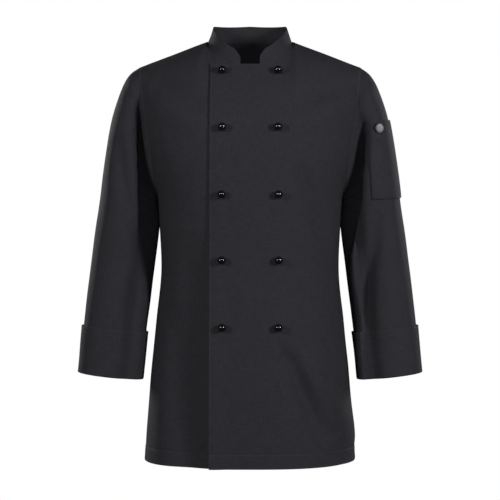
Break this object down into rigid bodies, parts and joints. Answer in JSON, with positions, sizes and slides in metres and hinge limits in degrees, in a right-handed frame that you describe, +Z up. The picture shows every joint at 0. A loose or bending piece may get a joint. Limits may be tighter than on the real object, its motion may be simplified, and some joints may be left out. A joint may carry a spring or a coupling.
{
  "type": "double-breasted chef jacket, worn form",
  "caption": "Long-sleeved double-breasted chef jacket with stand collar, turned-back cuffs, ball studs and a sleeve pocket, hollow as worn.",
  "frame": {"origin": "on the centre plane, level with the neck ends of the shoulder seams, where the wearer's neck and shoulders hold the jacket", "axes": "+X to the wearer's left, -Y to the front of the jacket, +Z up along the wearer's spine"},
  "size_m": [0.6116, 0.277, 0.7867],
  "materials": {
    "twill": "black polycotton twill, matt with a faint sheen",
    "stud": "polished black plastic",
    "badge": "pale grey disc in a dark ring, plain"
  },
  "bodies": {
    "root": {"back": "twill", "front_left": "twill", "front_right": "twill", "sleeve_left": "twill", "sleeve_right": "twill", "cuff_left": "twill", "cuff_right": "twill", "collar": "twill", "sleeve_pocket": "twill", "pocket_badge": "badge", "stud_right_1": "stud", "stud_right_2": "stud", "stud_right_3": "stud", "stud_right_4": "stud", "stud_right_5": "stud", "stud_left_1": "stud", "stud_left_2": "stud", "stud_left_3": "stud", "stud_left_4": "stud", "stud_left_5": "stud"}
  },
  "joints": []
}
